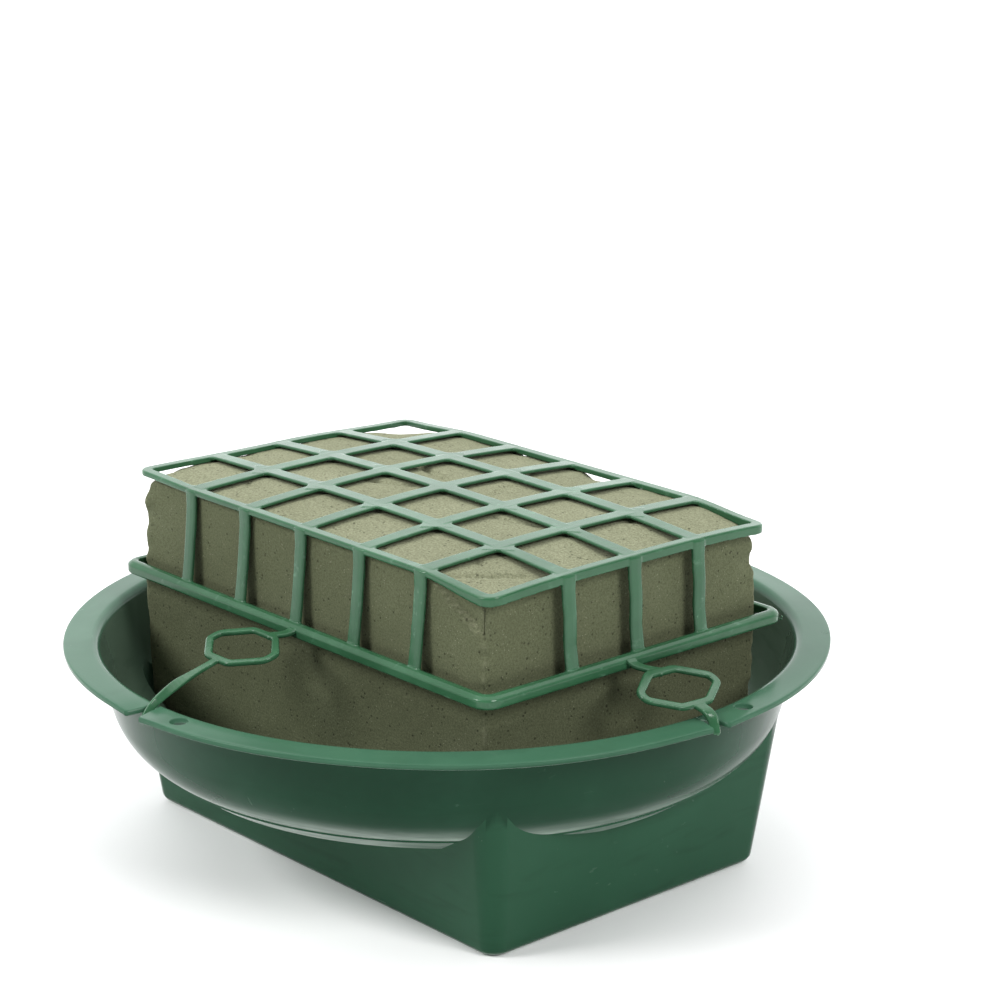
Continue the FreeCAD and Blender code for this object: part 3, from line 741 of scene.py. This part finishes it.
def side_relief(p, normal, high):
    """How far points stand out of faces that are never quite flat, with chipped and bitten edges."""
    half_x, half_y = FOAM_HALF
    x, y, z = p.T
    relief = 0.20 * noise3(p, 24, 5) + 0.08 * noise3(p, 6, 6) + 0.06 * noise3(p, 2.4, 7) - 0.22
    upright = np.exp(-((np.abs(x) - half_x) ** 2 + (np.abs(y) - half_y) ** 2) / 2.4 ** 2)
    chip = np.maximum(0, noise3(p, 5.5, 8) - 0.2) * 1.1 + np.maximum(0, noise3(p, 2.2, 9)) * 0.55
    relief -= upright * chip * (0.3 + 0.7 * high)
    rim = np.maximum(np.exp(-((np.abs(x) - half_x) / 3.0) ** 2), np.exp(-((np.abs(y) - half_y) / 3.0) ** 2))
    rim *= smoothstep(6, 0, FOAM_TOP - z)
    relief -= rim * (np.maximum(0, noise3(p, 7, 10) - 0.2) * 0.7 + np.maximum(0, noise3(p, 2.6, 11)) * 0.35)
    for place, size, depth in BITES:
        near = np.exp(-(((p - place) / size) ** 2).sum(1))
        relief -= depth * near * (0.8 + 0.5 * noise3(p, 3.0, 12))
    relief += 0.9 * np.exp(-(((p - (-78, -51, 99)) / (5, 5, 2.6)) ** 2).sum(1))

    # a flap pressed in under the near top corner
    crease = 104.6 - 9.4 * np.clip((x - 56) / 22, 0, 1)
    pressed = smoothstep(0, 0.7, z - crease) * smoothstep(55, 60, x) * (normal[:, 1] < -0.6)
    relief -= pressed * (1.5 + 0.5 * noise3(p, 4, 14))
    lip = np.exp(-((z - crease + 0.6) / 0.6) ** 2) * smoothstep(56, 62, x) * (normal[:, 1] < -0.6)
    relief += lip * (0.45 + 0.4 * noise3(p, 1.8, 15))
    return relief


def score_top(p, normal, relief):
    """Add dents and scores in the top to the relief."""
    x, y = p[:, 0], p[:, 1]
    on_top = (normal[:, 2] > 0.7).astype(float)
    broad = np.maximum(0, noise3(p, 12, 13))
    small = np.maximum(0, noise3(p, 4, 16))
    relief += on_top * (0.24 - 0.25 * broad - 0.12 * small)
    for (ax, ay), (bx, by), wide, depth in SCORES:
        ab = np.array([bx - ax, by - ay])
        t = np.clip(((x - ax) * ab[0] + (y - ay) * ab[1]) / (ab @ ab), 0, 1)
        far = np.hypot(x - ax - ab[0] * t, y - ay - ab[1] * t)
        relief -= on_top * 1.35 * depth * np.exp(-(far / wide) ** 2)


def settle(p):
    """Dome the top, break down its corners, and lean the block as it stands in the bowl."""
    x, y, z = p.T
    dome = np.maximum(0, 1 - (x / 80) ** 2) * np.maximum(0, 1 - (y / 52) ** 2)
    p[:, 2] += 2.3 * dome * smoothstep(84, 104, z)

    # corners and one stretch of the back edge are broken down
    upper = smoothstep(84, 103, z)
    for (cx, cy), (sx, sy), depth in BROKEN:
        near = np.exp(-(((x - cx) / sx) ** 2 + ((y - cy) / sy) ** 2) ** 1.5)
        p[:, 2] -= upper * depth * near * (0.9 + 0.35 * noise3(p, 5, 17) + 0.2 * noise3(p, 2, 18))

    # the top follows the frame, and the part above the well leans to the left end and is a little swollen
    rise = smoothstep(10, 40, p[:, 2])
    past = smoothstep(28, 40, np.abs(p[:, 1])) * smoothstep(10, -60, p[:, 0])
    below_frame = frame_sag(p[:, 0], p[:, 1]) + smoothstep(60, 78, p[:, 0])
    p[:, 2] -= smoothstep(84, 103, p[:, 2]) * below_frame
    p[:, 0] = p[:, 0] * (1 + 0.018 * rise) - rise * (1.9 + 0.3 * past)
    p[:, 1] = p[:, 1] * (1 + 0.030 * rise) - 0.7 * rise


def build_foam():
    """The foam block: a fine shell, rounded, roughened, bitten and scored, then settled in the bowl."""
    step = 1.0
    p, faces = box_shell(*FOAM_HALF, FOAM_BASE, FOAM_TOP, step)
    high = smoothstep(40, 62, p[:, 2])
    p, normal = round_block(p, high)
    relief = side_relief(p, normal, high)
    score_top(p, normal, relief)
    p = p + normal * relief[:, None]
    settle(p)
    obj = mesh_object("foam_block_cut", p, faces)
    weld(obj)
    dress(obj, FOAM, "foam", "foam", "foam_block")


# ---- cage ----

CAGE_TOP = 107.5
FRAME_UNDER = 105.8
BAR_UNDER = 106.5
RAIL_TOP = 79.4
RAIL_UNDER = 75.6
FRAME_HALF = (80.2, 52.4)
RAIL_HALF = (83.6, 56.8)
PITCH = (26.6, 25.1)
LONG_STEPS = (-2, -1, 0, 1, 2)
SHORT_STEPS = (-1, 0, 1)
OFF_CENTRE = (-0.6, -0.9)  # the cage sits this little out of the middle of the bowl

# Sections of the frames as (outward, z), and of the grid bars as (across, up).
FRAME_SECTION = [(-1.7, FRAME_UNDER + 0.1), (1.7, FRAME_UNDER), (1.7, CAGE_TOP - 0.3), (1.4, CAGE_TOP),
                 (-1.7, CAGE_TOP)]
RAIL_SECTION = [(-1.6, RAIL_UNDER), (1.4, RAIL_UNDER), (1.75, RAIL_UNDER + 0.5), (1.75, RAIL_UNDER + 2.5),
                (1.5, RAIL_UNDER + 2.9), (0.5, RAIL_TOP - 0.15), (-0.6, RAIL_TOP), (-1.6, RAIL_TOP - 0.2)]
BAR_SECTION = [(-2.6, 0.15), (-2.3, 0.0), (2.3, 0.0), (2.6, 0.15), (2.6, 0.75), (2.35, 1.0),
               (-2.35, 1.0), (-2.6, 0.75)]

PAD_HALF = (4.3, 4.3, 0.48)

# Nibs of flash left by the mould: place, size.
FLASH = (((2 * PITCH[0] - 2.6, -54.9, 90.0), (0.35, 0.3, 1.1)),
         ((84.9, 57.2, 77.2), (0.5, 0.4, 0.45)),
         ((83.6, 58.2, 75.9), (0.9, 0.35, 0.35)),
         ((-53.2 - 2.6, -55.0, 84.0), (0.25, 0.3, 0.6)),
         ((82.0, 25.1 - 2.3, 101.0), (0.3, 0.3, 0.7)),
         ((26.6, -58.3, 76.1), (1.6, 0.25, 0.3)),
         ((-83.9, 20.0, 76.0), (0.25, 1.3, 0.3)))


def corner_path(half_x, half_y, radius):
    """Points and outward normals round a rounded rectangle."""
    out = []
    for sx, sy, start in ((1, -1, -90), (1, 1, 0), (-1, 1, 90), (-1, -1, 180)):
        cx, cy = sx * (half_x - radius), sy * (half_y - radius)
        for a in np.radians(np.linspace(start, start + 90, 7)):
            out.append(((cx + radius * math.cos(a), cy + radius * math.sin(a)), (math.cos(a), math.sin(a))))
    return out


def subdivided(path, step):
    """The same closed path with points added along its straight sides."""
    out = []
    for i, ((ax, ay), normal) in enumerate(path):
        bx, by = path[(i + 1) % len(path)][0]
        out.append(((ax, ay), normal))
        count = int(math.hypot(bx - ax, by - ay) / step)
        for k in range(1, count):
            t = k / count
            out.append(((ax + (bx - ax) * t, ay + (by - ay) * t), normal))
    return out


def ring_of(section, path):
    """Sweep a section of (outward, z) pairs round a path."""
    return [[(px + nx * o, py + ny * o, z) for o, z in section] for (px, py), (nx, ny) in path]


def dome_rise(x, y):
    """How far the grid stands above the upper frame."""
    return 2.4 * max(0.0, 1 - (x / 80.4) ** 2) * max(0.0, 1 - (y / 52.8) ** 2)


def build_cage():
    """Frames, grid bars with webs, and posts, melted into one moulding."""
    lump = Lump()
    lump.loft(ring_of(FRAME_SECTION, subdivided(corner_path(*FRAME_HALF, 3.0), 4.0)), closed=True)
    lump.loft(ring_of(RAIL_SECTION, corner_path(*RAIL_HALF, 3.6)), closed=True)
    add_grid(lump)
    add_posts(lump)
    for seed, (place, size) in enumerate(FLASH, 1):
        lump.blob(place, size, seed)
    p = np.array(lump.vertices, float)
    edge = (np.abs(p[:, 0]) > 77) | (np.abs(p[:, 1]) > 50)
    deeper = 0.6 * smoothstep(55, 80, p[:, 0]) * edge * (p[:, 2] > 103)
    p[:, 2] -= deeper * np.maximum(0, CAGE_TOP - p[:, 2])
    p[:, 2] -= smoothstep(84, 104, p[:, 2]) * frame_sag(p[:, 0], p[:, 1])
    p[:, :2] += OFF_CENTRE
    lump.vertices = [tuple(q) for q in p]
    obj = lump.build("cage_moulding")
    fuse(obj, 0.27, 0.4)
    nodes = [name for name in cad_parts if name.startswith("cage_")]
    dress(obj, CAGE, "cage_plastic", "cage", *nodes)


def bars_across(side):
    """Where the grid bars meet a side, as distances from its middle."""
    if side in LONG_SIDES:
        return [step * PITCH[0] for step in LONG_STEPS]
    return [step * PITCH[1] for step in SHORT_STEPS]


def add_grid(lump):
    """Domed bars, with square pads where they cross and webs where they meet the upper frame."""
    for k in SHORT_STEPS:
        y = k * PITCH[1]
        rows = [[(x, y + a, BAR_UNDER + dome_rise(x, y) + h) for a, h in BAR_SECTION]
                for x in np.linspace(-79.6, 79.6, 41)]
        lump.loft(rows)
    for k in LONG_STEPS:
        x = k * PITCH[0]
        rows = [[(x - a, y, BAR_UNDER + dome_rise(x, y) + h) for a, h in BAR_SECTION]
                for y in np.linspace(-51.6, 51.6, 31)]
        lump.loft(rows)
    for i in LONG_STEPS:
        for j in SHORT_STEPS:
            x, y = i * PITCH[0], j * PITCH[1]
            lump.box((x, y, BAR_UNDER + dome_rise(x, y) + PAD_HALF[2]), PAD_HALF, 45)
    for side in SIDES:
        half = FRAME_HALF[1] if side in LONG_SIDES else FRAME_HALF[0]
        for across in bars_across(side):
            web = [(across - 4.0, -half + 1.2), (across - 2.4, -half + 3.1), (across + 2.4, -half + 3.1),
                   (across + 4.0, -half + 1.2)]
            lump.loft([to_side([(*q, z) for q in web[::-1]], side)
                       for z in (BAR_UNDER + 0.05, CAGE_TOP - 0.05)])


def add_posts(lump):
    """Posts from the lower frame up over the edge of the upper one, each leaning a little."""
    for side in SIDES:
        axis = 1 if side in LONG_SIDES else 0
        foot = RAIL_HALF[axis] - 0.3
        head = FRAME_HALF[axis] + 2.1
        for across in bars_across(side):
            rows = []
            for z, out, half in ((RAIL_TOP - 1.8, foot, 2.45), (RAIL_TOP, foot, 2.4), (86, foot - 0.75, 2.3),
                                 (95, head + 0.45, 2.3), (102, head - 0.05, 2.35), (FRAME_UNDER, head, 2.5),
                                 (CAGE_TOP - 0.5, head, 2.45), (CAGE_TOP - 0.05, head - 0.5, 2.0)):
                lean = -0.7 * (RAIL_TOP + 28 - z) / 28 * (1 if side in ("front", "left") else -1)
                section = [(-half + 0.5, out - 0.12), (0.3, out), (half - 0.5, out - 0.12), (half, out - 0.5),
                           (half, out - 1.3), (-half, out - 1.3), (-half, out - 0.5)]
                rows.append(to_side([(across + lean + a, -o, z) for a, o in section], side))
            lump.loft(rows)


# ---- links ----

PIVOT_Z = 77.3  # height of the bending lines
NOTCH_PLACE = 107.0  # how far out a link on a long side meets the rim
PIVOT_LONG = 59.6  # how far out a link bends, on the long and on the short sides
PIVOT_SHORT = 86.4
RING_HALF = 13.0  # half width of the ring
RING_FLAT = 4.8  # half length of the sides of the ring towards the neck and the strap
RING_REACH = (9.4, 2.1)  # half lengths of the ring along the link, at its ends and at its corners

# How each link lies: side, shift, spread, turn, root, squash.
LINKS = (("front", -5.0, 1.6, 0, 1.2, 0.93), ("right", -0.8, 1.1, -3, -4.6, 0.81),
         ("back", 2.0, 0.8, 3, 0.4, 1.0), ("left", 1.0, 1.2, 2, 1.0, 0.94))


def link_points(side):
    """Distance of the bending line from the middle, and the fall of the link, in radians."""
    if side in LONG_SIDES:
        return PIVOT_LONG, math.atan2(PIVOT_Z - RIM_TOP - 1.0, NOTCH_PLACE - PIVOT_LONG)
    return PIVOT_SHORT, math.radians(20.5)


def band(lump, path, ups, half_widths, half_thick, closed=False):
    """A flat band with rounded edges along a path; ups are the directions its face looks."""
    path = [np.array(q, float) for q in path]
    rows = []
    count = len(path)
    for i, q in enumerate(path):
        before = path[i - 1] if closed or i else path[i]
        after = path[(i + 1) % count] if closed or i + 1 < count else path[i]
        along = after - before
        along /= np.linalg.norm(along)
        side = np.cross(along, np.array(ups[i], float))
        side /= np.linalg.norm(side)
        up = np.cross(side, along)
        w = half_widths[i]
        t = half_thick
        c = min(0.3, 0.4 * t)
        section = [(-w + c, -t), (w - c, -t), (w, -t + c), (w, t - c),
                   (w - c, t), (-w + c, t), (-w, t - c), (-w, -t + c)]
        rows.append([q + side * a + up * b for a, b in section])
    lump.loft(rows, closed)


def curve(points, count):
    """A smooth path through a few points, evenly spaced."""
    points = np.array(points, float)
    tangents = np.gradient(points, axis=0)
    out = []
    for k in range(len(points) - 1):
        for t in np.linspace(0, 1, 12, endpoint=k == len(points) - 2):
            stay = 2 * t ** 3 - 3 * t ** 2 + 1
            leave = t ** 3 - 2 * t ** 2 + t
            ahead = 3 * t ** 2 - 2 * t ** 3
            arrive = t ** 3 - t ** 2
            out.append(stay * points[k] + leave * tangents[k]
                       + ahead * points[k + 1] + arrive * tangents[k + 1])
    out = np.array(out)
    travel = np.concatenate([[0], np.cumsum(np.linalg.norm(np.diff(out, axis=0), axis=1))])
    at = np.linspace(0, travel[-1], count)
    return np.stack([np.interp(at, travel, out[:, i]) for i in range(3)], 1)


def build_link(side, shift, spread, turn, root, squash):
    """A finger ring and its strap, from the neck on the lower frame to the tail in its notch.

    The thin parts lie a little askew: the ring is moved sideways by shift and outwards by spread, turned,
    and squashed along the link.  root is where along the lower frame the neck leaves it.
    """
    pivot, fall = link_points(side)
    face = np.array([0, -math.sin(fall), math.cos(fall)])

    def place(u, v, lift=0.0):
        return np.array([v, -pivot - u * math.cos(fall), PIVOT_Z - u * math.sin(fall)]) + face * lift

    middle = 12.1 + spread
    long, short = RING_REACH[0] * squash, RING_REACH[1] * squash
    corners = [(long, RING_FLAT), (short, RING_HALF), (-short, RING_HALF), (-long, RING_FLAT),
               (-long, -RING_FLAT), (-short, -RING_HALF), (short, -RING_HALF), (long, -RING_FLAT)]
    spin = rotation2(turn)
    corners = [spin @ np.array(q) + [middle, shift] for q in corners]
    ring = []
    for i, q in enumerate(corners):
        a, b = corners[i - 1], corners[(i + 1) % 8]
        cut_a = q + (a - q) / np.linalg.norm(a - q) * 1.3
        cut_b = q + (b - q) / np.linalg.norm(b - q) * 1.3
        for t in (0, 0.35, 0.65, 1):
            ring.append((1 - t) ** 2 * cut_a + 2 * t * (1 - t) * q + t ** 2 * cut_b)
    lump = Lump()
    band(lump, [place(u, v) for u, v in ring], [face] * len(ring), [1.2] * len(ring), 0.7, closed=True)

    # the neck, from inside the lower frame to the near side of the ring
    near = spin @ np.array((-long, -0.3 * shift)) + [middle, shift]
    neck = curve([place(-1.8, root, 0.4), place(0.0, root),
                  place(0.4 * near[0], root * 0.75 + near[1] * 0.25), place(near[0] + 0.3, near[1])], 9)
    band(lump, neck, [face] * 9, [1.9, 1.8, 1.6, 1.45, 1.4, 1.4, 1.45, 1.6, 1.9], 0.6)

    # the strap, from the far side of the ring to its tail, turning on edge to enter the notch
    far = spin @ np.array((long + 0.1, 0.0)) + [middle, shift]
    start = place(far[0], far[1])
    if side in LONG_SIDES:
        slot = [start, (shift * 0.45, -96.5, 70.3), (-0.1, -105.6, 67.9), (0.0, -109.0, 65.6),
                (0.0, -111.8, 62.9)]
        twist, widths = 64, (1.25, 1.4, 1.55, 1.3, 0.8)
    else:
        slot = [start, (shift * 0.6, -108.9, 68.9), (0.0, -110.7, 67.3), (0.0, -112.0, 65.0),
                (0.0, -113.0, 62.9)]
        twist, widths = 52, (1.9, 1.8, 1.6, 1.4, 1.0)
    count = 20
    path = curve(slot, count)
    width = np.interp(np.linspace(0, 4, count), range(5), widths)
    ups = []
    for k in range(count):
        t = k / (count - 1)
        along = path[min(k + 1, count - 1)] - path[max(k - 1, 0)]
        along /= np.linalg.norm(along)
        level = np.cross(along, (1.0, 0.0, 0.0))
        level *= np.sign(level[2]) / np.linalg.norm(level)
        a = math.radians(twist) * float(smoothstep(0.25, 0.8, t)) * (1 if side in ("front", "left") else -1)
        ups.append(level * math.cos(a) + np.array([1.0, 0, 0]) * math.sin(a))
    band(lump, path, ups, width, 0.6)
    lump.blob(path[-1] + (0.2, 0, 0.1), (0.75, 0.7, 0.6), 9)

    # at the side it belongs to, with its root moved as far as the cage
    obj = lump.build("link_%s_moulding" % side)
    co = np.array([v.co for v in obj.data.vertices]) / MM
    co = to_side(co, side)
    share = smoothstep(pivot + 7, pivot + 1, np.abs(co[:, 1] if side in LONG_SIDES else co[:, 0]))[:, None]
    co[:, :2] += share * OFF_CENTRE
    obj.data.vertices.foreach_set("co", (co * MM).ravel())
    fuse(obj, 0.2, 0.5)
    dress(obj, CAGE, "cage_plastic", "link_" + side, "link_%s_ring" % side, "link_%s_strap" % side)


# ---- scene ----

CAMERA_TURN = 48.31  # degrees round from the front
CAMERA_RISE = 16.0
CAMERA_AWAY = (836.98, 16.08, 37.06)  # mm back, right and up from the middle of the rim
LENS = 99.53784


def build_camera():
    """The camera at the photograph's angle; gives back the direction from the object to it."""
    azimuth, elevation = math.radians(CAMERA_TURN), math.radians(CAMERA_RISE)
    back = Vector((math.sin(azimuth) * math.cos(elevation), -math.cos(azimuth) * math.cos(elevation),
                   math.sin(elevation)))
    right = Vector((math.cos(azimuth), math.sin(azimuth), 0))
    up = back.cross(right)
    data = bpy.data.cameras.new("camera")
    data.sensor_width = 36
    data.lens = LENS
    camera = bpy.data.objects.new("camera", data)
    scene.collection.objects.link(camera)
    away = back * CAMERA_AWAY[0] + right * CAMERA_AWAY[1] + up * CAMERA_AWAY[2]
    place = away * MM + Vector((0, 0, RIM_TOP * MM))
    camera.matrix_world = Matrix([(right[i], up[i], back[i], place[i]) for i in range(3)] + [(0, 0, 0, 1)])
    scene.camera = camera
    return back


def soft_sun(name, source, strength, spread):
    """Soft light from one side; source points towards the light, spread is its width in degrees."""
    data = bpy.data.lights.new(name, "SUN")
    data.energy = strength
    data.angle = math.radians(spread)
    lamp = bpy.data.objects.new(name, data)
    lamp.rotation_mode = "QUATERNION"
    lamp.rotation_quaternion = (-source).to_track_quat("-Z", "Y")
    lamp.location = source
    scene.collection.objects.link(lamp)


def build_studio(back):
    """A wide pale floor, three soft lights and the surroundings."""
    corners = 64
    edge = [(9000 * math.cos(a), 9000 * math.sin(a), 0)
            for a in np.linspace(0, 2 * math.pi, corners, endpoint=False)]
    floor = mesh_object("floor", edge, [tuple(range(corners))])
    floor.data.materials.append(floor_material())
    flat = Vector((back.x, back.y, 0)).normalized()
    build_sky(flat)
    soft_sun("key_front", Vector((-0.44, -0.86, 0.74)), 2.5, 24)
    soft_sun("key_side", Vector((0.95, 0.05, 0.74)), 2.2, 24)
    soft_sun("top", Vector((-0.1, 0.15, 1.0)), 2.2, 80)
    scene.view_settings.view_transform = "Standard"


def build_sky(flat):
    """Surroundings that are bright low down behind the object and dim on the camera's side."""
    world = bpy.data.worlds.new("studio")
    scene.world = world
    world.use_nodes = True
    nodes, link = world.node_tree.nodes, world.node_tree.links.new
    direction = nodes.new("ShaderNodeTexCoord").outputs["Generated"]
    behind = nodes.new("ShaderNodeVectorMath")
    behind.operation = "DOT_PRODUCT"
    behind.inputs[1].default_value = -flat
    link(direction, behind.inputs[0])
    split = nodes.new("ShaderNodeSeparateXYZ")
    link(direction, split.inputs["Vector"])
    product = nodes.new("ShaderNodeMath")
    product.operation = "MULTIPLY"
    for k, (source, limits) in enumerate(((behind.outputs["Value"], (-0.25, 0.55, 0.14, 1.95)),
                                          (split.outputs["Z"], (0.35, 0.85, 1.0, 0.35)))):
        share = nodes.new("ShaderNodeMapRange")
        share.interpolation_type = "SMOOTHSTEP"
        for key, number in zip(RANGE_KEYS, limits):
            share.inputs[key].default_value = number
        link(source, share.inputs["Value"])
        link(share.outputs["Result"], product.inputs[k])
    background = nodes["Background"]
    background.inputs["Color"].default_value = (0.97, 0.98, 1.0, 1)
    link(product.outputs["Value"], background.inputs["Strength"])


build_studio(build_camera())
build_bowl()
build_foam()
build_cage()
for askew in LINKS:
    build_link(*askew)
